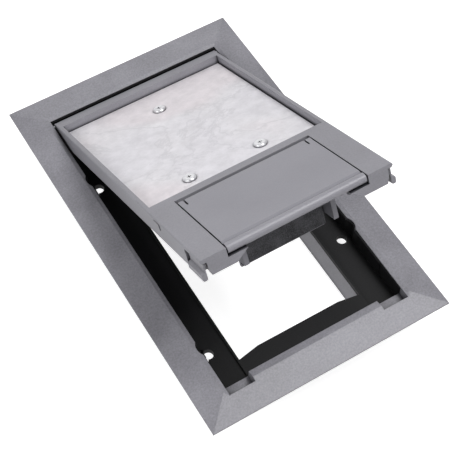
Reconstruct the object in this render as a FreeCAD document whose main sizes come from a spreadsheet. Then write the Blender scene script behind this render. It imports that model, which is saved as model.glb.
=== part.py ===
# Floor box cover: a bevelled trim frame with a lined well, a hinged lid and a cable door in the lid.
# Millimetres. X runs across the cover and Y along it, with the lid's hinge at +Y. Z is up, and the collar
# stands on Z = 0, so that the underside of the flange, which is floor level, lies at collar_drop.
import FreeCAD, Part
import os

import Sketcher

SIZES = [
    # alias, millimetres or degrees, what it is
    ("cover_width", 190.0, "flange across X"),
    ("cover_length", 305.0, "flange along Y"),
    ("collar_drop", 37.5, "collar's bottom to the flange's underside"),
    ("edge_height", 1.2, "upright outer edge of the flange"),
    ("crest_height", 5.0, "flange's underside to its crest"),
    ("bevel_side", 20.0, "run of the side bevels"),
    ("bevel_back", 21.7, "run of the back bevel"),
    ("bevel_front", 20.8, "run of the front bevel"),
    ("chamfer_run", 3.0, "inner slope at the sides and the back"),
    ("chamfer_drop", 0.8, "fall of that inner slope"),
    ("lip_run", 5.6, "inner slope of the cable lip"),
    ("lip_drop", 2.0, "fall of the cable lip"),
    ("lip_half_width", 52.0, "half width of the cable lip between the notches"),
    ("notch_reach", 3.3, "notches beyond the front crest"),
    ("notch_depth", 9.0, "notch ledges below the crest"),
    ("well_depth", 18.5, "screw ledge below the crest"),
    ("well_wall", 4.0, "wall round the well"),
    ("ledge_thickness", 3.2, "screw ledge"),
    ("throat_side", 22.5, "ledge from the well's side to the throat"),
    ("throat_front", 15.8, "ledge from the well's front to the throat"),
    ("throat_back", 19.8, "ledge from the well's back to the throat"),
    ("collar_wall", 2.5, "collar"),
    ("rib_width", 1.5, "liner's raised rim round the throat"),
    ("screw_hole_diameter", 7.7, "mounting screw holes"),
    ("screw_inset", 6.8, "mounting screws from the well's side"),
    ("screw_pitch", 160.0, "mounting screws apart along Y"),
    ("screw_shift", 15.0, "each side's pair off the middle"),
    ("scallop_radius", 8.7, "scallops of the well round the screws"),
    ("screw_pocket_start", 1.8, "screws' pockets begin this far outside the holes' centres"),
    ("screw_pocket_half", 5.8, "half length of the screws' pockets along Y"),
    ("screw_pocket_reach", 5.9, "screws' pockets from the holes' centres towards the sides"),
    ("screw_pocket_corner", 2.4, "cut corners of the screws' pockets"),
    ("screw_seat", 1.3, "ledge left under the screws' pockets"),
    ("sleeve_wall", 0.9, "liner's sleeves in the screw holes"),
    ("liner_clearance", 0.1, "liner in the well"),
    ("liner_wall", 0.9, "liner's walls"),
    ("liner_floor", 2.0, "liner's floor"),
    ("liner_height", 16.8, "liner's walls above the ledge"),
    ("liner_rib_height", 2.0, "liner's rim above its floor"),
    ("liner_tab_room", 1.0, "liner's thin walls behind the shut lid's corner tabs"),
    ("liner_thin_wall", 0.5, "liner's walls beside the corner tabs"),
    ("tongue_reach", 2.8, "liner's tongue over the throat"),
    ("tongue_half_width", 33.0, "half width of the tongue's edge"),
    ("hinge_inset", 4.7, "lid's axis from the well's back"),
    ("pin_radius", 1.2, "hinge pins"),
    ("pin_clearance", 0.05, "hinge pins in their running bores"),
    ("pin_hold", 6.0, "lid's pins in the frame"),
    ("cut_margin", 1.0, "cuts past the faces that they open"),
    ("pin_end_play", 0.5, "pins' ends in their bores"),
    ("pin_gap_half", 1.6, "half width of the liner's slots for the pins"),
    ("lid_angle", 27.5, "lid's opening as it stands"),
    ("lid_drop", 2.4, "lid's axis below its top"),
    ("lid_setback", 1.6, "lid's axis behind its back edge"),
    ("lid_side_gap", 1.7, "lid to the well's side"),
    ("lid_front_gap", 0.6, "lid to the cable lip"),
    ("lid_edge_round", 1.2, "rounding of the lid's back and side edges"),
    ("skirt_depth", 14.5, "lid's skirts"),
    ("skirt_thickness", 3.5, "lid's skirts"),
    ("recess_depth", 6.0, "recess down to the plate"),
    ("recess_side_rim", 3.3, "rim beside the recess"),
    ("recess_back_rim", 8.5, "rim behind the recess"),
    ("recess_length", 158.0, "recess along the lid"),
    ("web_thickness", 2.5, "webs of the lid"),
    ("plate_thickness", 1.5, "insert plate"),
    ("plate_gap", 1.2, "groove round the plate"),
    ("plate_groove_depth", 1.4, "groove below the plate's underside"),
    ("strip_width", 7.0, "strip between the recess and the cable door"),
    ("door_well_depth", 7.0, "web below the cable door"),
    ("door_gap", 3.5, "gap behind the cable door"),
    ("door_side_gap", 0.9, "gap beside the cable door"),
    ("door_half_width", 50.8, "half width of the cable door"),
    ("door_thickness", 2.6, "cable door"),
    ("door_front_gap", 0.3, "bead behind the lid's front"),
    ("door_axis_reach", 3.0, "door's axis in front of its back edge"),
    ("door_axis_drop", 2.4, "door's axis below the lid's top"),
    ("door_knuckle_radius", 2.2, "knuckles of the cable door"),
    ("finger_width", 3.7, "hinge fingers of the cable door"),
    ("slit_width", 1.2, "slits beside the fingers"),
    ("slit_length", 7.0, "slits from the door's back edge"),
    ("hollow_end", 2.72, "end of the hollow before the bead's axis"),
    ("bead_radius", 3.4, "rolled front edge"),
    ("bead_drop", 3.0, "rolled edge's centre below the lid's top"),
    ("valley_run", 5.3, "hollow behind the rolled edge"),
    ("valley_drop", 0.9, "depth of that hollow"),
    ("cheek_thickness", 2.5, "walls beside the cable door"),
    ("side_top_thickness", 3.0, "lid's top beside the cable door"),
    ("hinge_block_length", 12.5, "solid stretch that holds the door's pins"),
    ("front_wall_thickness", 3.0, "lid's front wall"),
    ("front_wall_depth", 13.3, "lid's front wall below its top"),
    ("front_wall_margin", 4.2, "front wall short of the lid's side"),
    ("front_wall_foot", 5.8, "front wall short of the lid's side at its foot"),
    ("exit_top_half_width", 37.6, "cable exit at the door's web"),
    ("exit_foot_half_width", 46.8, "cable exit at the front wall's foot"),
    ("exit_length", 37.0, "window behind the front wall"),
    ("tab_length", 22.0, "corner tabs"),
    ("tab_step", 1.0, "corner tabs behind the lid's front"),
    ("tab_proud", 0.8, "corner tabs' feet outside the lid's side"),
    ("tab_waist", 1.7, "corner tabs' waists inside the lid's side"),
    ("tab_inner", 2.6, "corner tabs' inner faces inside the lid's side"),
    ("tab_shoulder", 1.7, "lid's side above the corner tabs"),
    ("tab_waist_foot", 9.6, "foot of the corner tabs' waists below the lid's top"),
    ("tab_foot", 15.9, "corner tabs' feet below the lid's top"),
    ("tab_web_depth", 8.4, "web between the corner tabs and the front wall"),
    ("tab_web_setback", 1.2, "that web behind the lid's front"),
    ("tab_gap", 1.0, "gap behind the corner tabs"),
    ("barrel_root", 1.0, "barrel's root in the lid's back"),
    ("barrel_radius", 2.0, "lid's hinge barrel"),
    ("pin_end", 7.3, "pins in the lid's barrel"),
    ("bump_place", 180.0, "side bumps from the lid's back edge"),
    ("bump_length", 8.0, "side bumps"),
    ("bump_top", 1.5, "side bumps below the lid's top"),
    ("bump_height", 4.5, "side bumps"),
    ("bump_rise", 0.5, "side bumps proud of the skirt"),
    ("lid_screw_back", 38.0, "back screw of the plate from the lid's back edge"),
    ("lid_screw_front", 146.0, "front screws of the plate from the lid's back edge"),
    ("lid_screw_half_pitch", 28.0, "front screws from the middle"),
    ("lid_screw_radius", 1.9, "plate screws"),
    ("lid_screw_hole", 4.4, "plate's screw holes"),
    ("lid_screw_tip", 14.2, "plate screws down from the lid's top"),
    ("dimple_diameter", 13.5, "dimples of the plate"),
    ("dimple_angle", 150.0, "dimples of the plate"),
    ("seat_drop", 0.55, "screw heads below the plate's top"),
    ("head_radius", 4.7, "screw heads"),
    ("head_height", 2.0, "screw heads"),
    ("head_round", 1.5, "rounding of the screw heads"),
    ("cross_half_length", 1.6, "cross recess"),
    ("cross_half_width", 0.4, "cross recess"),
    ("cross_depth", 1.2, "cross recess"),
    ("boss_radius", 4.0, "screw bosses under the lid"),
    ("guard_half_width", 35.7, "guard behind the cable exit"),
    ("guard_wall", 3.5, "guard's side plates"),
    ("guard_panel", 2.5, "guard's back panel"),
    ("guard_reach", 19.0, "guard's side plates forward"),
    ("guard_side_depth", 34.0, "guard's side plates below the lid's top"),
    ("guard_depth", 45.5, "guard's panel below the lid's top"),
    ("guard_flange_length", 10.0, "guard's flange under the web"),
    ("pad_thickness", 3.0, "guard's pad"),
    ("pad_margin", 0.3, "pad inside the side plates"),
    ("pad_foot", 2.5, "pad above the panel's foot"),
]

doc = FreeCAD.newDocument("floor_box_cover")
sheet = doc.addObject("Spreadsheet::Sheet", "Sizes")
for row, (alias, number, note) in enumerate(SIZES, start=1):
    sheet.set("A%d" % row, note)
    sheet.set("B%d" % row, str(number))
    sheet.setAlias("B%d" % row, alias)
doc.recompute()


class Size:
    """A length with its value and the expression that binds it to the sheet."""

    def __init__(self, value, text):
        self.value = value
        self.text = text

    def __add__(self, other):
        other = as_size(other)
        return Size(self.value + other.value, "(%s + %s)" % (self.text, other.text))

    def __sub__(self, other):
        other = as_size(other)
        return Size(self.value - other.value, "(%s - %s)" % (self.text, other.text))

    def __mul__(self, other):
        other = as_size(other)
        return Size(self.value * other.value, "(%s * %s)" % (self.text, other.text))

    def __truediv__(self, other):
        other = as_size(other)
        return Size(self.value / other.value, "(%s / %s)" % (self.text, other.text))

    def __neg__(self):
        return Size(-self.value, "(0 - %s)" % self.text)


def as_size(value):
    return value if isinstance(value, Size) else Size(float(value), repr(float(value)))


def named(alias):
    return Size(float(sheet.get(alias)), "Sizes.%s" % alias)


def mirrored(corners):
    return [(-across, up) for across, up in corners]


def rectangle(left, right, low, high):
    return [(left, low), (right, low), (right, high), (left, high)]


def sketch(body, name, role, offset):
    drawing = body.newObject("Sketcher::SketchObject", name)
    plane = [feature for feature in body.Origin.OriginFeatures if feature.Role == role][0]
    drawing.AttachmentSupport = (plane, [""])
    drawing.MapMode = "FlatFace"
    drawing.setExpression("AttachmentOffset.Base.z", as_size(offset).text)
    return drawing


def tie(drawing, kind, shape, point, size):
    size = as_size(size)
    if kind == "Radius":
        index = drawing.addConstraint(Sketcher.Constraint("Radius", shape, size.value))
    else:
        index = drawing.addConstraint(Sketcher.Constraint(kind, -1, 1, shape, point, size.value))
    drawing.setExpression("Constraints[%d]" % index, size.text)


def outline(body, name, role, offset, *loops):
    """A sketch of closed outlines with straight sides, every corner tied to the sheet."""
    drawing = sketch(body, name, role, offset)
    for loop in loops:
        corners = [(as_size(across), as_size(up)) for across, up in loop]
        first = drawing.GeometryCount
        for start, end in zip(corners, corners[1:] + corners[:1]):
            drawing.addGeometry(Part.LineSegment(FreeCAD.Vector(start[0].value, start[1].value, 0),
                                                 FreeCAD.Vector(end[0].value, end[1].value, 0)))
        for side in range(len(corners)):
            following = first + (side + 1) % len(corners)
            drawing.addConstraint(Sketcher.Constraint("Coincident", first + side, 2, following, 1))
        for side, (across, up) in enumerate(corners):
            tie(drawing, "DistanceX", first + side, 1, across)
            tie(drawing, "DistanceY", first + side, 1, up)
    return drawing


def circles(body, name, role, offset, centres, radius):
    """A sketch of equal circles, every centre tied to the sheet."""
    drawing = sketch(body, name, role, offset)
    for across, up in centres:
        centre = FreeCAD.Vector(as_size(across).value, as_size(up).value, 0)
        shape = drawing.addGeometry(Part.Circle(centre, FreeCAD.Vector(0, 0, 1), as_size(radius).value))
        tie(drawing, "DistanceX", shape, 3, across)
        tie(drawing, "DistanceY", shape, 3, up)
        tie(drawing, "Radius", shape, 3, radius)
    return drawing


def settled(body, feature, grows):
    """Recomputes, and stops if the feature added or removed nothing."""
    before = body.Shape.Volume if body.Shape.Solids else 0.0
    body.Tip = feature
    doc.recompute()
    change = body.Shape.Volume - before
    if (change <= 0) if grows else (change >= 0):
        raise RuntimeError("%s of %s changed nothing" % (feature.Name, body.Name))
    return feature


def pad(body, drawing, length, both_ways=False, backwards=False):
    feature = body.newObject("PartDesign::Pad", drawing.Name + "Pad")
    feature.Profile = drawing
    feature.SideType = "Symmetric" if both_ways else "One side"
    feature.Reversed = backwards
    feature.setExpression("Length", as_size(length).text)
    return settled(body, feature, True)


def pocket(body, drawing, length, both_ways=False, backwards=False):
    feature = body.newObject("PartDesign::Pocket", drawing.Name + "Pocket")
    feature.Profile = drawing
    feature.SideType = "Symmetric" if both_ways else "One side"
    feature.Reversed = backwards
    feature.setExpression("Length", as_size(length).text)
    return settled(body, feature, False)


def loft(body, name, first, last, grows=True):
    kind = "PartDesign::AdditiveLoft" if grows else "PartDesign::SubtractiveLoft"
    feature = body.newObject(kind, name)
    feature.Profile = first
    feature.Sections = [last]
    feature.Ruled = True
    return settled(body, feature, grows)


def both_sides(body, name, features, grows=True):
    """Repeats features on the other side of the middle plane."""
    feature = body.newObject("PartDesign::Mirrored", name)
    feature.Originals = features
    plane = [part for part in body.Origin.OriginFeatures if part.Role == "YZ_Plane"][0]
    feature.MirrorPlane = (plane, [""])
    return settled(body, feature, grows)


def holes(body, drawing, diameter, cut_diameter=None, cut_angle=None):
    """Through holes, countersunk where a wider diameter is given."""
    doc.recompute()
    feature = body.newObject("PartDesign::Hole", drawing.Name + "Holes")
    feature.Profile = drawing
    feature.DepthType = "ThroughAll"
    feature.setExpression("Diameter", diameter.text)
    if cut_diameter:
        feature.HoleCutType = "Countersink"
        feature.HoleCutCustomValues = True
        feature.setExpression("HoleCutDiameter", cut_diameter.text)
        feature.setExpression("HoleCutCountersinkAngle", cut_angle.text + " * 1 deg")
    return settled(body, feature, False)


def rounded(body, name, edges, radius):
    base = body.Tip
    feature = body.newObject("PartDesign::Fillet", name)
    feature.Base = (base, edges)
    feature.setExpression("Radius", radius.text)
    return settled(body, feature, False)


def edges_where(shape, test):
    return ["Edge%d" % number for number, edge in enumerate(shape.Edges, start=1) if test(edge)]


def new_body(label):
    body = doc.addObject("PartDesign::Body", "Body_" + label)
    body.Label = label
    return body


# Heights of the frame
floor_level = named("collar_drop")
crest = floor_level + named("crest_height")
ledge = crest - named("well_depth")
ledge_under = ledge - named("ledge_thickness")

# Plan of the frame: edges of the flange, its crest, the well and the throat
flange_x = named("cover_width") / 2
flange_y = named("cover_length") / 2
crest_x = flange_x - named("bevel_side")
crest_back = flange_y - named("bevel_back")
crest_front = named("bevel_front") - flange_y
well_x = crest_x - named("chamfer_run")
well_back = crest_back - named("chamfer_run")
well_front = crest_front + named("lip_run")
throat_x = well_x - named("throat_side")
throat_back = well_back - named("throat_back")
throat_front = well_front + named("throat_front")
wall = named("well_wall")
rib = named("rib_width")
lip_x = named("lip_half_width")
notch_front = crest_front - named("notch_reach")

# Mounting screws: two along each side, the sides staggered
screw_x = well_x - named("screw_inset")
screw_half = named("screw_pitch") / 2
screw_shift = named("screw_shift")
screws = [(screw_x, screw_shift - screw_half), (screw_x, screw_shift + screw_half),
          (-screw_x, -screw_shift - screw_half), (-screw_x, screw_half - screw_shift)]
pocket_half = named("screw_pocket_half")
pocket_reach = named("screw_pocket_reach")
pocket_corner = named("screw_pocket_corner")
pocket_start = named("screw_pocket_start")
screw_pocket = [(pocket_start, -pocket_half), (pocket_reach - pocket_corner, -pocket_half),
                (pocket_reach, pocket_corner - pocket_half), (pocket_reach, pocket_half - pocket_corner),
                (pocket_reach - pocket_corner, pocket_half), (pocket_start, pocket_half)]
screw_pockets = [[(x - across, y + along) for across, along in screw_pocket] for x, y in screws[2:]]
sleeve_radius = named("screw_hole_diameter") / 2 + named("sleeve_wall")

# Lid's hinge line, and the lid's own coordinates: origin on that line, measured with the lid shut
hinge_y = well_back - named("hinge_inset")
hinge_z = crest - named("lid_drop")
lid_x = well_x - named("lid_side_gap")
lid_length = hinge_y - named("lid_setback") - named("lid_front_gap") - well_front
pin_radius = named("pin_radius")
bore_radius = pin_radius + named("pin_clearance")
pin_inner = lid_x - named("pin_end")
pin_outer = well_x + named("pin_hold")


def forward(distance):
    """Lid's own Y of a place at this distance in front of its back edge."""
    return -(named("lid_setback") + distance)


def down(depth):
    """Lid's own Z of a place at this depth below its top."""
    return named("lid_drop") - depth


def on_lid(body):
    """Turns a body of the lid's coordinates about the hinge line to the lid's opening."""
    body.Placement = FreeCAD.Placement(FreeCAD.Vector(0, hinge_y.value, hinge_z.value),
                                       FreeCAD.Rotation(FreeCAD.Vector(-1, 0, 0), named("lid_angle").value))
    body.setExpression("Placement.Base.y", hinge_y.text)
    body.setExpression("Placement.Base.z", hinge_z.text)
    body.setExpression("Placement.Rotation.Angle", "Sizes.lid_angle * 1 deg")


# Trim frame: flange with four bevels, well, screw ledge, notches, cable lip and collar in one moulding
frame = new_body("trim_frame")
edge_top = floor_level + named("edge_height")
pad(frame, outline(frame, "FlangeEdge", "XY_Plane", floor_level,
                   rectangle(-flange_x, flange_x, -flange_y, flange_y)), named("edge_height"))
bevel_foot = outline(frame, "BevelFoot", "XY_Plane", edge_top,
                     rectangle(-flange_x, flange_x, -flange_y, flange_y))
bevel_top = outline(frame, "BevelTop", "XY_Plane", crest,
                    rectangle(-crest_x, crest_x, crest_front, crest_back))
loft(frame, "Bevels", bevel_foot, bevel_top)
pad(frame, outline(frame, "WellBlock", "XY_Plane", edge_top,
                   rectangle(-well_x - wall, well_x + wall, well_front - wall, well_back + wall)),
    edge_top - ledge_under, backwards=True)
notch_ledge = crest - named("notch_depth")
pad(frame, outline(frame, "NotchBlock", "XY_Plane", edge_top,
                   rectangle(-well_x - wall, well_x + wall, notch_front - wall, well_front)),
    edge_top - notch_ledge + named("ledge_thickness"), backwards=True)
collar_x = throat_x + named("collar_wall")
pad(frame, outline(frame, "CollarBlock", "XY_Plane", ledge,
                   rectangle(-collar_x, collar_x, throat_front - named("collar_wall"),
                             throat_back + named("collar_wall"))), ledge, backwards=True)
pocket(frame, outline(frame, "Well", "XY_Plane", crest,
                      rectangle(-well_x, well_x, well_front, well_back)), named("well_depth"))
pocket(frame, circles(frame, "Scallops", "XY_Plane", crest, screws, named("scallop_radius")),
       named("well_depth"))
pocket(frame, outline(frame, "Notches", "XY_Plane", crest,
                      rectangle(lip_x, well_x, notch_front, well_front),
                      rectangle(-well_x, -lip_x, notch_front, well_front)), named("notch_depth"))
chamfer_foot = outline(frame, "ChamferFoot", "XY_Plane", crest - named("chamfer_drop"),
                       rectangle(-well_x, well_x, well_front, well_back))
chamfer_top = outline(frame, "ChamferTop", "XY_Plane", crest,
                      rectangle(-crest_x, crest_x, well_front, crest_back))
loft(frame, "Chamfer", chamfer_foot, chamfer_top, grows=False)
above = crest + named("cut_margin")
chamfer_end = [(well_x, crest - named("chamfer_drop")), (crest_x, crest), (crest_x, above), (well_x, above)]
pocket(frame, outline(frame, "ChamferEnds", "XZ_Plane", -well_front, chamfer_end, mirrored(chamfer_end)),
       named("lip_run") + named("bevel_front") / 2, backwards=True)
pocket(frame, outline(frame, "CableLip", "YZ_Plane", 0,
                      [(crest_front, crest), (well_front, crest - named("lip_drop")), (well_front, above),
                       (crest_front, above)]), (lip_x + named("cut_margin")) * 2, both_ways=True)
pocket(frame, outline(frame, "Throat", "XY_Plane", ledge,
                      rectangle(-throat_x, throat_x, throat_front, throat_back)), ledge)
pocket_depth = named("ledge_thickness") - named("screw_seat")
pocket(frame, circles(frame, "MountingHoles", "XY_Plane", ledge, screws, sleeve_radius + named("liner_clearance")),
       named("ledge_thickness"))
pocket(frame, outline(frame, "ScrewPockets", "XY_Plane", ledge, *screw_pockets), pocket_depth)
pocket(frame, circles(frame, "LidPinBores", "YZ_Plane", 0, [(hinge_y, hinge_z)], pin_radius),
       pin_outer * 2, both_ways=True)

# Liner of the well, with the scallops' linings, thin walls in front and a tongue over the throat
liner = new_body("well_liner")
liner_gap = named("liner_clearance")
liner_wall = named("liner_wall")
liner_x = well_x - liner_gap
liner_front = well_front + liner_gap
liner_back = well_back - liner_gap
liner_top = ledge + named("liner_height")
liner_floor = ledge + named("liner_floor")
liner_rib = liner_floor + named("liner_rib_height")
tab_back = well_front + named("lid_front_gap") + named("tab_length")
pad(liner, outline(liner, "LinerBlock", "XY_Plane", ledge,
                   rectangle(-liner_x, liner_x, liner_front, liner_back)), named("liner_height"))
pad(liner, circles(liner, "ScallopBlocks", "XY_Plane", ledge, screws, named("scallop_radius") - liner_gap),
    named("liner_height"))
pocket(liner, outline(liner, "LinerWell", "XY_Plane", liner_top,
                      rectangle(liner_wall - liner_x, liner_x - liner_wall, liner_front + liner_wall,
                                liner_back - liner_wall)), liner_top - liner_floor)
pocket(liner, circles(liner, "ScallopLinings", "XY_Plane", liner_top, screws,
                      named("scallop_radius") - liner_gap - liner_wall), liner_top - liner_floor)
thin_x = liner_x - named("liner_thin_wall")
pocket(liner, outline(liner, "ThinFront", "XY_Plane", liner_top,
                      rectangle(-thin_x, thin_x, -flange_y, tab_back + named("liner_tab_room"))),
       liner_top - liner_floor)
pad(liner, outline(liner, "LinerRim", "XY_Plane", liner_floor,
                   rectangle(-throat_x - rib, throat_x + rib, liner_front, throat_back + rib)),
    named("liner_rib_height"))
tongue_x = named("tongue_half_width")
tongue_front = throat_front + named("tongue_reach")
pocket(liner, outline(liner, "LinerThroat", "XY_Plane", liner_rib,
                      [(throat_x, throat_back), (throat_x, throat_front), (tongue_x, tongue_front),
                       (-tongue_x, tongue_front), (-throat_x, throat_front), (-throat_x, throat_back)]),
       liner_rib - ledge)
pad(liner, circles(liner, "Sleeves", "XY_Plane", ledge, screws, sleeve_radius), named("ledge_thickness"),
    backwards=True)
holes(liner, circles(liner, "MountingHoles", "XY_Plane", liner_floor, screws, named("screw_hole_diameter") / 2),
      named("screw_hole_diameter"))
pocket(liner, outline(liner, "LinerPockets", "XY_Plane", liner_floor, *screw_pockets),
       named("liner_floor") + pocket_depth)
pin_gap = named("pin_gap_half")
pocket(liner, outline(liner, "PinSlots", "YZ_Plane", 0,
                      rectangle(hinge_y - pin_gap, hinge_y + pin_gap, hinge_z - pin_gap, crest)),
       well_x * 2, both_ways=True)

# Lid's hinge pins, held in the sides of the flange
lid_pins = new_body("lid_hinge_pins")
lid_pin = pad(lid_pins, circles(lid_pins, "LidPin", "YZ_Plane", pin_inner, [(hinge_y, hinge_z)], pin_radius),
              pin_outer - pin_inner)
both_sides(lid_pins, "LidPins", [lid_pin])

# Lid moulding: skirts, recess, webs, cable exit, front wall, corner tabs, hinge barrel and screw bosses
lid = new_body("lid_frame")
skirt = named("skirt_depth")
skirt_wall = named("skirt_thickness")
recess_back = named("recess_back_rim")
recess_front = recess_back + named("recess_length")
recess_x = lid_x - named("recess_side_rim")
plate_gap = named("plate_gap")
recess_floor = named("recess_depth") + named("plate_thickness")
web_under = recess_floor + named("web_thickness")
strip_front = recess_front + named("strip_width")
door_web = named("door_well_depth")
door_web_under = door_web + named("web_thickness")
door_well_x = named("door_half_width") + named("door_side_gap")
cheek_x = door_well_x + named("cheek_thickness")
cavity_x = lid_x - skirt_wall
cavity_front = lid_length - named("front_wall_thickness")
exit_back = cavity_front - named("exit_length")
block_front = strip_front + named("hinge_block_length")
pad(lid, outline(lid, "LidBlock", "XY_Plane", down(skirt),
                 rectangle(-lid_x, lid_x, forward(lid_length), forward(0))), skirt)
lid_front_y = forward(lid_length).value
top_edges = edges_where(lid.Shape, lambda edge: abs(edge.CenterOfMass.z - down(0).value) < 0.01
                        and abs(edge.CenterOfMass.y - lid_front_y) > 0.01)
rounded(lid, "EdgeRound", top_edges, named("lid_edge_round"))
pocket(lid, outline(lid, "Recess", "XY_Plane", down(0),
                    rectangle(-recess_x, recess_x, forward(recess_front), forward(recess_back))), recess_floor)
groove_x = recess_x - plate_gap
pocket(lid, outline(lid, "PlateGroove", "XY_Plane", down(recess_floor),
                    rectangle(-recess_x, recess_x, forward(recess_front), forward(recess_back)),
                    rectangle(-groove_x, groove_x, forward(recess_front - plate_gap),
                              forward(recess_back + plate_gap))), named("plate_groove_depth"))
pocket(lid, outline(lid, "BackCavity", "XY_Plane", down(skirt),
                    rectangle(-cavity_x, cavity_x, forward(strip_front), forward(skirt_wall))),
       skirt - web_under, backwards=True)
pocket(lid, outline(lid, "FrontCavity", "XY_Plane", down(skirt),
                    rectangle(-cavity_x, cavity_x, forward(cavity_front), forward(strip_front))),
       skirt - door_web_under, backwards=True)
pocket(lid, outline(lid, "SideCavities", "XY_Plane", down(skirt),
                    rectangle(cheek_x, cavity_x, forward(cavity_front), forward(block_front)),
                    rectangle(-cavity_x, -cheek_x, forward(cavity_front), forward(block_front))),
       skirt - named("side_top_thickness"), backwards=True)
pocket(lid, outline(lid, "DoorWell", "XY_Plane", down(0),
                    rectangle(-door_well_x, door_well_x, forward(lid_length), forward(strip_front))), door_web)
exit_top = named("exit_top_half_width")
pocket(lid, outline(lid, "ExitWindow", "XY_Plane", down(door_web),
                    rectangle(-exit_top, exit_top, forward(cavity_front), forward(exit_back))), skirt)
exit_foot = named("exit_foot_half_width")
front_foot = named("front_wall_depth")
pocket(lid, outline(lid, "CableExit", "XZ_Plane", -forward(lid_length),
                    [(exit_foot, down(skirt)), (exit_foot, down(front_foot)), (exit_top, down(door_web)),
                     (-exit_top, down(door_web)), (-exit_foot, down(front_foot)), (-exit_foot, down(skirt))]),
       named("front_wall_thickness"))

# Slots between the front wall and the corner tabs, open right through below a web, the tabs' waists and
# feet, and the gaps behind the tabs
tab_length = named("tab_length")
tab_web = down(named("tab_web_depth"))
tab_inner = lid_x - named("tab_inner")
tab_foot = down(named("tab_foot"))
waist_x = lid_x - named("tab_waist")
waist_foot = down(named("tab_waist_foot"))
slot_top = down(named("side_top_thickness"))
wall_x = lid_x - named("front_wall_margin")
wall_foot_x = lid_x - named("front_wall_foot")
below = down(skirt + named("cut_margin"))
slot_right = [(exit_foot, below), (exit_foot, down(front_foot)), (wall_foot_x, down(front_foot)),
              (wall_x, tab_web), (tab_inner, tab_web), (tab_inner, below)]
pocket(lid, outline(lid, "TabSlots", "XZ_Plane", -forward(lid_length), slot_right, mirrored(slot_right)),
       tab_length)
notch_right = [(wall_x, tab_web), (wall_x, slot_top), (tab_inner, slot_top), (tab_inner, tab_web)]
pocket(lid, outline(lid, "TabNotches", "XZ_Plane", -forward(lid_length), notch_right, mirrored(notch_right)),
       named("tab_web_setback"))
shoulder = named("tab_shoulder")
outside = lid_x + named("tab_proud")
waist_right = [(outside, down(shoulder)), (lid_x, down(shoulder)), (waist_x, down(shoulder * 2)),
               (waist_x, waist_foot), (outside, waist_foot - shoulder), (outside, below)]
pocket(lid, outline(lid, "TabWaists", "XZ_Plane", -forward(lid_length), waist_right, mirrored(waist_right)),
       tab_length)
foot_right = [(tab_inner, waist_foot), (waist_x, waist_foot), (outside, waist_foot - shoulder),
              (outside, tab_foot + named("tab_proud")), (outside - named("tab_proud"), tab_foot),
              (tab_inner + named("tab_proud"), tab_foot), (tab_inner, tab_foot + named("tab_proud"))]
pad(lid, outline(lid, "TabFeet", "XZ_Plane", -forward(lid_length), foot_right, mirrored(foot_right)),
    tab_length - named("tab_gap"), backwards=True)
tab_rear = lid_length - tab_length
tab_gap_front = forward(tab_rear + named("tab_gap"))
pocket(lid, outline(lid, "TabGaps", "XY_Plane", below,
                    rectangle(cavity_x, flange_x, tab_gap_front, forward(tab_rear)),
                    rectangle(-flange_x, -cavity_x, tab_gap_front, forward(tab_rear))),
       slot_top - below, backwards=True)
pocket(lid, outline(lid, "TabSteps", "XY_Plane", slot_top,
                    rectangle(wall_x, flange_x, forward(lid_length), forward(lid_length - named("tab_step"))),
                    rectangle(-flange_x, -wall_x, forward(lid_length), forward(lid_length - named("tab_step")))),
       skirt)

# Hinge barrel along the lid's back with a bore at each end, and the small bumps on the skirts
barrel = named("barrel_radius")
pad(lid, outline(lid, "BarrelRoot", "YZ_Plane", 0, rectangle(forward(named("barrel_root")), 0, -barrel, barrel)), lid_x * 2,
    both_ways=True)
pad(lid, circles(lid, "Barrel", "YZ_Plane", 0, [(0, 0)], barrel), lid_x * 2, both_ways=True)
barrel_bore = pocket(lid, circles(lid, "BarrelBore", "YZ_Plane", pin_inner - named("pin_end_play"), [(0, 0)],
                                  bore_radius), named("pin_end") * 2, backwards=True)
both_sides(lid, "BarrelBores", [barrel_bore], grows=False)
bump_top = named("bump_top")
bump_place = named("bump_place")
bump = pad(lid, outline(lid, "Bump", "YZ_Plane", lid_x,
                        rectangle(forward(bump_place + named("bump_length")), forward(bump_place),
                                  down(bump_top + named("bump_height")), down(bump_top))), named("bump_rise"))
both_sides(lid, "Bumps", [bump])

# Screw bosses under the recess and the screws' tapped holes
lid_screws = [(0, forward(named("lid_screw_back"))),
              (named("lid_screw_half_pitch"), forward(named("lid_screw_front"))),
              (-named("lid_screw_half_pitch"), forward(named("lid_screw_front")))]
pad(lid, circles(lid, "Bosses", "XY_Plane", down(skirt), lid_screws, named("boss_radius")), skirt - web_under)
pocket(lid, circles(lid, "BossHoles", "XY_Plane", down(recess_floor), lid_screws, named("lid_screw_radius")),
       named("lid_screw_tip") - recess_floor)

# Bores for the cable door's pins
door_back = strip_front + named("door_gap")
door_axis = forward(door_back + named("door_axis_reach"))
door_axis_z = down(named("door_axis_drop"))
door_pin_outer = door_well_x + named("pin_hold")
pocket(lid, circles(lid, "DoorPinBores", "YZ_Plane", 0, [(door_axis, door_axis_z)], pin_radius),
       door_pin_outer * 2, both_ways=True)
on_lid(lid)

# Insert plate on the floor of the recess, dimpled round its screws
plate = new_body("insert_plate")
pad(plate, outline(plate, "Plate", "XY_Plane", down(recess_floor),
                   rectangle(-groove_x, groove_x, forward(recess_front - plate_gap),
                             forward(recess_back + plate_gap))), named("plate_thickness"))
holes(plate, circles(plate, "Dimples", "XY_Plane", down(named("recess_depth")), lid_screws,
                     named("lid_screw_hole") / 2),
      named("lid_screw_hole"), named("dimple_diameter"), named("dimple_angle"))
on_lid(plate)

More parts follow.
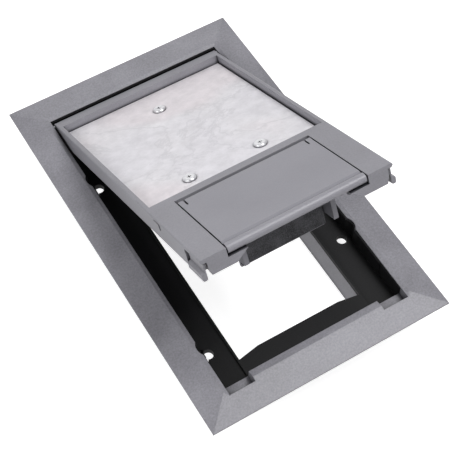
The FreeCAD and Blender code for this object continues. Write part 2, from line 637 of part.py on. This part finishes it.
# Plate screws: three round heads with a cross recess
plate_screws = new_body("plate_screws")
seat = down(named("recess_depth") + named("seat_drop"))
pad(plate_screws, circles(plate_screws, "Shanks", "XY_Plane", down(named("lid_screw_tip")), lid_screws,
                          named("lid_screw_radius")), seat - down(named("lid_screw_tip")))
head = named("head_radius")
pad(plate_screws, circles(plate_screws, "Heads", "XY_Plane", seat, lid_screws, head), named("head_height"))
head_top = (seat + named("head_height")).value
head_edges = edges_where(plate_screws.Shape, lambda edge: abs(edge.CenterOfMass.z - head_top) < 0.01)
rounded(plate_screws, "HeadRounds", head_edges, named("head_round"))
arm = named("cross_half_length")
half = named("cross_half_width")
cross = [(half, half), (half, arm), (-half, arm), (-half, half), (-arm, half), (-arm, -half), (-half, -half),
         (-half, -arm), (half, -arm), (half, -half), (arm, -half), (arm, half)]
crosses = [[(across + as_size(x), up + y) for across, up in cross] for x, y in lid_screws]
pocket(plate_screws, outline(plate_screws, "Crosses", "XY_Plane", seat + named("head_height"), *crosses),
       named("cross_depth"))
on_lid(plate_screws)

# Guard behind the cable exit: a panel with two side plates and a flange under the door's web
guard = new_body("cable_guard")
guard_x = named("guard_half_width")
guard_inner = guard_x - named("guard_wall")
guard_front = exit_back + named("guard_reach")
panel_front = exit_back + named("guard_panel")
guard_side = named("guard_side_depth")
pad(guard, outline(guard, "GuardPlan", "XY_Plane", down(door_web),
                   [(-guard_x, forward(exit_back)), (guard_x, forward(exit_back)), (guard_x, forward(guard_front)),
                    (guard_inner, forward(guard_front)), (guard_inner, forward(panel_front)),
                    (-guard_inner, forward(panel_front)), (-guard_inner, forward(guard_front)),
                    (-guard_x, forward(guard_front))]), guard_side - door_web, backwards=True)
pad(guard, outline(guard, "GuardPanel", "XY_Plane", down(guard_side),
                   rectangle(-guard_inner, guard_inner, forward(panel_front), forward(exit_back))),
    named("guard_depth") - guard_side, backwards=True)
pad(guard, outline(guard, "GuardFlange", "XY_Plane", down(door_web_under),
                   rectangle(-guard_inner, guard_inner, forward(exit_back),
                             forward(exit_back - named("guard_flange_length")))), named("guard_panel"), backwards=True)
on_lid(guard)

# Pad on the guard's front face
guard_pad = new_body("guard_pad")
pad_x = guard_inner - named("pad_margin")
pad(guard_pad, outline(guard_pad, "Pad", "XY_Plane", down(door_web_under),
                       rectangle(-pad_x, pad_x, forward(panel_front + named("pad_thickness")),
                                 forward(panel_front))),
    named("guard_depth") - named("pad_foot") - door_web_under, backwards=True)
on_lid(guard_pad)

# Cable door: a plate with a hollow and a rolled edge in front, and slit hinge fingers behind
door = new_body("cable_flap")
door_x = named("door_half_width")
bead = named("bead_radius")
bead_y = lid_length - named("door_front_gap") - bead
bead_drop = named("bead_drop")
valley_back = bead_y - named("valley_run")
pad(door, outline(door, "DoorProfile", "YZ_Plane", 0,
                  [(forward(door_back), down(named("door_thickness"))), (forward(door_back), down(0)),
                   (forward(valley_back), down(0)), (forward(bead_y - named("hollow_end")), down(named("valley_drop"))),
                   (forward(bead_y), down(named("valley_drop"))),
                   (forward(bead_y), down(named("door_thickness") + named("valley_drop"))),
                   (forward(bead_y - named("hollow_end")), down(named("door_thickness") + named("valley_drop"))),
                   (forward(valley_back), down(named("door_thickness")))]), door_x * 2, both_ways=True)
pad(door, circles(door, "Bead", "YZ_Plane", 0, [(forward(bead_y), down(bead_drop))], bead),
    door_x * 2, both_ways=True)
finger_inner = door_x - named("finger_width")
finger = pad(door, circles(door, "Finger", "YZ_Plane", finger_inner, [(door_axis, door_axis_z)],
                           named("door_knuckle_radius")), named("finger_width"))
both_sides(door, "Fingers", [finger])
slit_inner = finger_inner - named("slit_width")
slit_front = door_back + named("slit_length")
pocket(door, outline(door, "Slits", "XY_Plane", down(0),
                     rectangle(slit_inner, finger_inner, forward(slit_front), forward(door_back)),
                     rectangle(-finger_inner, -slit_inner, forward(slit_front), forward(door_back))),
       named("door_thickness") + named("door_knuckle_radius") * 2)
finger_bore = pocket(door, circles(door, "FingerBore", "YZ_Plane", finger_inner, [(door_axis, door_axis_z)],
                                   bore_radius), named("finger_width"), backwards=True)
both_sides(door, "FingerBores", [finger_bore], grows=False)
on_lid(door)

# Cable door's pins, held in the lid
door_pins = new_body("flap_hinge_pins")
door_pin_inner = finger_inner + named("pin_end_play")
door_pin = pad(door_pins, circles(door_pins, "DoorPin", "YZ_Plane", door_pin_inner,
                                  [(door_axis, door_axis_z)], pin_radius), door_pin_outer - door_pin_inner)
both_sides(door_pins, "DoorPins", [door_pin])
on_lid(door_pins)

doc.recompute()
parts = [frame, liner, lid_pins, lid, plate, plate_screws, guard, guard_pad, door_pins, door]
for item in doc.Objects:
    if "Invalid" in item.State or "Error" in item.State:
        raise RuntimeError("%s is in state %s" % (item.Name, item.State))
for item in parts:
    if item.Shape.isNull() or not item.Shape.isValid():
        raise RuntimeError("%s has no sound shape" % item.Label)
os.makedirs("parts", exist_ok=True)
for item in parts:
    item.Shape.exportStep("parts/%s.step" % item.Label)
    print(item.Label, len(item.Shape.Solids), "solids", round(item.Shape.Volume), "mm3", item.Shape.BoundBox)
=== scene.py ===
import bpy
from mathutils import Matrix, Vector

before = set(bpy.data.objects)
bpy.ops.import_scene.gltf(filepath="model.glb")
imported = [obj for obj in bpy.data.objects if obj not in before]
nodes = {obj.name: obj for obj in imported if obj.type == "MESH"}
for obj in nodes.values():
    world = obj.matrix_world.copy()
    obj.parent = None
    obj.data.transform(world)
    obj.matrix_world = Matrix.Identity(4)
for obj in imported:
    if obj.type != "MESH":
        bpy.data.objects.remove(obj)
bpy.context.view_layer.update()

WHITE = (1.0, 1.0, 1.0, 1.0)
# Places in a noise texture's range between which nearly all of its values lie
NOISE_LOW, NOISE_HIGH = 0.3, 0.7
# Samples of the rounded edges and of the shade in joints
EDGE_SAMPLES, JOINT_SAMPLES = 6, 8
# Openness of a spot at which its painted shade is full, and at which it has none
JOINT_SHADE_FULL, JOINT_UNSHADED = 0.42, 0.94


def linear(hex_colour):
    """Turns an sRGB hex colour into the linear colour that a shader takes."""
    channels = [int(hex_colour[place:place + 2], 16) / 255 for place in (1, 3, 5)]
    return tuple(c / 12.92 if c <= 0.04045 else ((c + 0.055) / 1.055) ** 2.4 for c in channels) + (1.0,)


def per_mm(size_mm):
    """A pattern's scale, from the size in life of its cells."""
    return 1000 / size_mm


def add_node(tree, kind, settings=(), links=()):
    """Adds a node. A setting is a property's name or an input's name or number; a link goes to an input."""
    node = tree.nodes.new(kind)
    for name, value in dict(settings).items():
        if isinstance(name, str) and hasattr(node, name):
            setattr(node, name, value)
        else:
            node.inputs[name].default_value = value
    for name, socket in dict(links).items():
        tree.links.new(socket, node.inputs[name])
    return node


def new_material(name):
    """A material with only its output, and its tree."""
    material = bpy.data.materials.new(name)
    material.use_nodes = True
    tree = material.node_tree
    tree.nodes.clear()
    return material, tree


def set_stops(ramp, stops):
    """Gives a Color Ramp node its stops, as pairs of a place and a colour."""
    elements = ramp.color_ramp.elements
    while len(elements) < len(stops):
        elements.new(1.0)
    for element, (place, colour) in zip(elements, stops):
        element.position = place
        element.color = colour


def painted_joint_shade(tree, colour, reach_mm, dark):
    """The colour with painted shade: darker in the joints and corners where shade falls, within the reach."""
    joints = add_node(tree, "ShaderNodeAmbientOcclusion",
                      {"samples": JOINT_SAMPLES, "Distance": reach_mm / 1000})
    shade_ramp = add_node(tree, "ShaderNodeValToRGB", links={"Fac": joints.outputs["AO"]})
    set_stops(shade_ramp, [(JOINT_SHADE_FULL, linear(dark)), (JOINT_UNSHADED, WHITE)])
    mixed = add_node(tree, "ShaderNodeMix", {"data_type": "RGBA", "blend_type": "MULTIPLY", 0: 1.0},
                     {6: colour, 7: shade_ramp.outputs["Color"]})
    return mixed.outputs[2]


def drifting(tree, roughness, below, above, noise):
    """A roughness that drifts with the noise, from so much below to so much above the given one."""
    sheen = add_node(tree, "ShaderNodeMapRange",
                     {"From Min": NOISE_LOW, "From Max": NOISE_HIGH,
                      "To Min": roughness - below, "To Max": roughness + above},
                     {"Value": noise.outputs["Fac"]})
    return sheen.outputs["Result"]


def soft_edges(tree, radius_mm):
    """Normals that round every edge."""
    return add_node(tree, "ShaderNodeBevel", {"samples": EDGE_SAMPLES, "Radius": radius_mm / 1000})


def moulded(name, low, high, roughness, grain_mm, grain_depth_mm, edge_mm, gloss=0.5, reach_mm=3.0):
    """Injection moulding: drifting colour, spark-eroded grain, softened edges, and painted shade darkening the
    joints and corners.

    The grain is drawn coarser than life, about 1 mm for 0.2 mm, so that it shows at the photograph's size.
    """
    material, tree = new_material(name)
    place = add_node(tree, "ShaderNodeTexCoord")
    drift = add_node(tree, "ShaderNodeTexNoise", {"Scale": per_mm(38), "Detail": 3.0, "Roughness": 0.55},
                     {"Vector": place.outputs["Object"]})
    grain = add_node(tree, "ShaderNodeTexNoise", {"Scale": per_mm(grain_mm), "Detail": 2.0, "Roughness": 0.6},
                     {"Vector": place.outputs["Object"]})
    speckled = add_node(tree, "ShaderNodeMix", {"Factor": 0.5},
                        {"A": drift.outputs["Fac"], "B": grain.outputs["Fac"]})
    tone = add_node(tree, "ShaderNodeValToRGB", links={"Fac": speckled.outputs["Result"]})
    set_stops(tone, [(0.35, linear(low)), (0.65, linear(high))])
    edges = soft_edges(tree, edge_mm)
    surface = add_node(tree, "ShaderNodeBump", {"Strength": 0.5, "Distance": grain_depth_mm / 1000},
                       {"Height": grain.outputs["Fac"], "Normal": edges.outputs["Normal"]})
    # Painted shade: the colour darkens in joints and corners, within reach_mm
    shader = add_node(tree, "ShaderNodeBsdfPrincipled", {"IOR": 1.5, "Specular IOR Level": gloss},
                      {"Base Color": painted_joint_shade(tree, tone.outputs["Color"], reach_mm, "#56565a"),
                       "Roughness": drifting(tree, roughness, 0.03, 0.04, drift),
                       "Normal": surface.outputs["Normal"]})
    add_node(tree, "ShaderNodeOutputMaterial", links={"Surface": shader.outputs["BSDF"]})
    return material


def galvanised():
    """Hot-dip galvanised sheet: pale, clouded, with thin darker veins between the patches of zinc.

    The clouds are about 9 mm across. The veins wander over some 75 mm and the faint cast over 70 mm.
    """
    material, tree = new_material("galvanised_sheet")
    place = add_node(tree, "ShaderNodeTexCoord")
    cloud = add_node(tree, "ShaderNodeTexNoise", {"Scale": per_mm(9), "Detail": 6.0, "Roughness": 0.68},
                     {"Vector": place.outputs["Object"]})
    cast = add_node(tree, "ShaderNodeTexNoise", {"Scale": per_mm(70), "Detail": 1.0},
                    {"Vector": place.outputs["Object"]})
    veins = add_node(tree, "ShaderNodeTexNoise",
                     {"Scale": per_mm(75), "Detail": 8.0, "Roughness": 0.62, "Distortion": 0.35},
                     {"Vector": place.outputs["Object"]})
    tone = add_node(tree, "ShaderNodeValToRGB", links={"Fac": cloud.outputs["Fac"]})
    set_stops(tone, [(NOISE_LOW, linear("#dad8dc")), (NOISE_HIGH, linear("#eeecf0"))])
    tint = add_node(tree, "ShaderNodeValToRGB", links={"Fac": cast.outputs["Fac"]})
    set_stops(tint, [(0.38, linear("#fbfbfc")), (0.5, linear("#fdfdfd")), (0.62, linear("#fefafa"))])
    vein = add_node(tree, "ShaderNodeValToRGB", links={"Fac": veins.outputs["Fac"]})
    set_stops(vein, [(0.482, WHITE), (0.5, linear("#e6e6e7")), (0.518, WHITE)])
    tinted = add_node(tree, "ShaderNodeMix", {"data_type": "RGBA", "blend_type": "MULTIPLY", 0: 1.0},
                      {6: tone.outputs["Color"], 7: tint.outputs["Color"]})
    veined = add_node(tree, "ShaderNodeMix", {"data_type": "RGBA", "blend_type": "MULTIPLY"},
                      {0: cloud.outputs["Fac"], 6: tinted.outputs[2], 7: vein.outputs["Color"]})
    surface = add_node(tree, "ShaderNodeBump", {"Strength": 0.3, "Distance": 0.05 / 1000},
                       {"Height": cloud.outputs["Fac"]})
    # Painted shade: the sheet's colour darkens where other parts stand close, within 1.8 mm
    shader = add_node(tree, "ShaderNodeBsdfPrincipled", {"Metallic": 0.35},
                      {"Base Color": painted_joint_shade(tree, veined.outputs[2], 1.8, "#737376"),
                       "Roughness": drifting(tree, 0.56, 0.06, 0.06, cloud),
                       "Normal": surface.outputs["Normal"]})
    add_node(tree, "ShaderNodeOutputMaterial", links={"Surface": shader.outputs["BSDF"]})
    return material


def zinc_plated(name, dull, bright, roughness):
    """Zinc-plated steel: a bright metal with slightly uneven polish."""
    material, tree = new_material(name)
    place = add_node(tree, "ShaderNodeTexCoord")
    wear = add_node(tree, "ShaderNodeTexNoise", {"Scale": per_mm(2.5), "Detail": 3.0},
                    {"Vector": place.outputs["Object"]})
    tone = add_node(tree, "ShaderNodeValToRGB", links={"Fac": wear.outputs["Fac"]})
    set_stops(tone, [(NOISE_LOW, linear(dull)), (0.6, linear(bright))])
    edges = soft_edges(tree, 0.2)
    # Painted shade: the metal's colour darkens in the screws' recesses and joints, within 0.8 mm
    shader = add_node(tree, "ShaderNodeBsdfPrincipled", {"Metallic": 1.0},
                      {"Base Color": painted_joint_shade(tree, tone.outputs["Color"], 0.8, "#4c4c50"),
                       "Roughness": drifting(tree, roughness, 0.05, 0.08, wear),
                       "Normal": edges.outputs["Normal"]})
    add_node(tree, "ShaderNodeOutputMaterial", links={"Surface": shader.outputs["BSDF"]})
    return material


def foam():
    """Closed-cell foam: dark, matt, with cells about 0.8 mm across, drawn coarser than life to show."""
    material, tree = new_material("dark_foam")
    place = add_node(tree, "ShaderNodeTexCoord")
    cells = add_node(tree, "ShaderNodeTexVoronoi", {"Scale": per_mm(0.8)}, {"Vector": place.outputs["Object"]})
    wear = add_node(tree, "ShaderNodeTexNoise", {"Scale": per_mm(14), "Detail": 5.0, "Roughness": 0.6},
                    {"Vector": place.outputs["Object"]})
    mottled = add_node(tree, "ShaderNodeMix", {"Factor": 0.7},
                       {"A": cells.outputs["Distance"], "B": wear.outputs["Fac"]})
    tone = add_node(tree, "ShaderNodeValToRGB", links={"Fac": mottled.outputs["Result"]})
    set_stops(tone, [(0.34, linear("#2c2c2f")), (0.62, linear("#59595d"))])
    surface = add_node(tree, "ShaderNodeBump", {"Strength": 0.6, "Distance": 0.2 / 1000},
                       {"Height": cells.outputs["Distance"]})
    shader = add_node(tree, "ShaderNodeBsdfPrincipled", {"Roughness": 0.85, "IOR": 1.45},
                      {"Base Color": tone.outputs["Color"], "Normal": surface.outputs["Normal"]})
    add_node(tree, "ShaderNodeOutputMaterial", links={"Surface": shader.outputs["BSDF"]})
    return material


def dress(node, material):
    """Gives every slot of the node's object the material."""
    for place in range(len(nodes[node].material_slots)):
        nodes[node].material_slots[place].material = material


# Black and mid grey ABS with a satin grain, coarsest on the trim frame and finest on the cable door
# reach_mm: how far from a joint or corner the painted shade darkens the colour
frame_grey = moulded("grey_abs_frame", "#7a797f", "#95949b", roughness=0.41,
                     grain_mm=1.3, grain_depth_mm=0.07, edge_mm=0.45, reach_mm=7.0)
grey = moulded("grey_abs", "#828187", "#8f8e95", roughness=0.39,
               grain_mm=1.1, grain_depth_mm=0.05, edge_mm=0.45)
door_grey = moulded("grey_abs_door", "#87868d", "#8f8e95", roughness=0.34,
                    grain_mm=0.9, grain_depth_mm=0.02, edge_mm=0.3, reach_mm=10.0)
guard_grey = moulded("grey_abs_guard", "#85848b", "#8b8a91", roughness=0.45,
                     grain_mm=0.9, grain_depth_mm=0.02, edge_mm=0.3)
black = moulded("black_abs", "#0c0c0e", "#19191b", roughness=0.6,
                grain_mm=0.9, grain_depth_mm=0.02, edge_mm=0.3, gloss=0.3, reach_mm=9.0)
# Zinc-plated steel on the screws. On the hinge pins a steel painted darker, to stand in for the shade that hides
# them in the hinge gaps
screw_zinc = zinc_plated("zinc_plated", "#e6e6ea", "#f3f3f5", roughness=0.4)
pin_steel_painted_dark = zinc_plated("steel_wire_painted_dark", "#717175", "#7d7d81", roughness=0.4)
for node, material in (("trim_frame", frame_grey), ("well_liner", black), ("lid_hinge_pins", pin_steel_painted_dark),
                       ("lid_frame", grey), ("insert_plate", galvanised()), ("plate_screws", screw_zinc),
                       ("cable_guard", guard_grey), ("guard_pad", foam()), ("flap_hinge_pins", pin_steel_painted_dark),
                       ("cable_flap", door_grey)):
    dress(node, material)

# Floor: white all round, as in the photograph, with a faint shadow of the object left on it. It lies just
# below the part, and glows to the camera and in reflections
FLOOR_SIDE, FLOOR_HEIGHT = 8.0, -0.0005
GLOW_REFLECTED, GLOW_SEEN = 0.55, 0.82
bpy.ops.mesh.primitive_plane_add(size=FLOOR_SIDE, location=(0, 0, FLOOR_HEIGHT))
floor = bpy.context.active_object
floor.name = "floor"
floor_material, tree = new_material("white_floor")
rays = add_node(tree, "ShaderNodeLightPath")
matt = add_node(tree, "ShaderNodeBsdfDiffuse", {"Color": linear("#cbcbcb")})
level = add_node(tree, "ShaderNodeMapRange", {"To Min": GLOW_REFLECTED, "To Max": GLOW_SEEN},
                 {"Value": rays.outputs["Is Camera Ray"]})
glow = add_node(tree, "ShaderNodeEmission", links={"Strength": level.outputs["Result"]})
lit = add_node(tree, "ShaderNodeAddShader", links={0: matt.outputs["BSDF"], 1: glow.outputs["Emission"]})
seen = add_node(tree, "ShaderNodeMath", {"operation": "MAXIMUM"},
                {0: rays.outputs["Is Camera Ray"], 1: rays.outputs["Is Glossy Ray"]})
mixed = add_node(tree, "ShaderNodeMixShader", links={0: seen.outputs["Value"], 1: matt.outputs["BSDF"],
                                                     2: lit.outputs["Shader"]})
add_node(tree, "ShaderNodeOutputMaterial", links={"Surface": mixed.outputs["Shader"]})
floor.data.materials.append(floor_material)

# World: white where it is seen. The pale walls of a studio behind and at the right light the object
world = bpy.data.worlds.new("studio")
bpy.context.scene.world = world
world.use_nodes = True
tree = world.node_tree
tree.nodes.clear()
rays = add_node(tree, "ShaderNodeLightPath")
place = add_node(tree, "ShaderNodeTexCoord")
axes = add_node(tree, "ShaderNodeSeparateXYZ", links={"Vector": place.outputs["Generated"]})


def wall(axis, strength):
    """Light that is strongest along the axis and fades to nothing at its sides."""
    facing = add_node(tree, "ShaderNodeMath", {"operation": "MAXIMUM", 1: 0.0}, {0: axes.outputs[axis]})
    fading = add_node(tree, "ShaderNodeMath", {"operation": "POWER", 1: 2.0}, {0: facing.outputs["Value"]})
    return add_node(tree, "ShaderNodeMath", {"operation": "MULTIPLY", 1: strength}, {0: fading.outputs["Value"]})


walls = add_node(tree, "ShaderNodeMath", {"operation": "ADD"},
                 {0: wall("Y", 0.67).outputs["Value"], 1: wall("X", 0.49).outputs["Value"]})
shown = add_node(tree, "ShaderNodeMath", {"operation": "MAXIMUM"},
                 {0: walls.outputs["Value"], 1: rays.outputs["Is Camera Ray"]})
sky = add_node(tree, "ShaderNodeBackground", {"Color": WHITE}, {"Strength": shown.outputs["Value"]})
add_node(tree, "ShaderNodeOutputWorld", links={"Surface": sky.outputs["Background"]})


def softbox(name, place, aim, size, power):
    """A rectangular area light at the place, turned to the aim; metres and watts."""
    light = bpy.data.lights.new(name, "AREA")
    light.shape = "RECTANGLE"
    light.size, light.size_y = size
    light.energy = power
    lamp = bpy.data.objects.new(name, light)
    bpy.context.scene.collection.objects.link(lamp)
    lamp.location = place
    lamp.rotation_euler = (Vector(aim) - Vector(place)).to_track_quat("-Z", "Y").to_euler()


CENTRE, LID = (0, 0, 0), (0, 0, 0.05)
softbox("left_box", (-1.3, 0.0, 1.0), LID, (0.8, 0.8), 12.5)
softbox("top_box", (0.5, -0.3, 1.45), CENTRE, (0.7, 0.7), 12.4)
softbox("sheen_box", (0.43, 0.24, 1.52), CENTRE, (0.3, 0.3), 2.4)
softbox("front_box", (0.0, -1.4, 0.9), LID, (0.9, 0.7), 5.5)
softbox("back_box", (0.2, 1.5, 0.8), LID, (1.4, 0.8), 2.5)

# Camera at the photograph's view: a 100 mm lens on a 36 mm square frame
camera_data = bpy.data.cameras.new("view")
camera_data.lens = 100.64
camera_data.sensor_width = 36.0
camera = bpy.data.objects.new("view", camera_data)
bpy.context.scene.collection.objects.link(camera)
right = Vector((0.85727, -0.51486, -0.00155)).normalized()
ahead = Vector((0.27427, 0.45921, -0.84493)).normalized()
right = (right - ahead * right.dot(ahead)).normalized()
turn = Matrix((right, right.cross(ahead), -ahead)).transposed()
camera.matrix_world = Matrix.Translation((-0.2536, -0.4335, 0.80375)) @ turn.to_4x4()
bpy.context.scene.camera = camera

bpy.context.scene.view_settings.view_transform = "Standard"
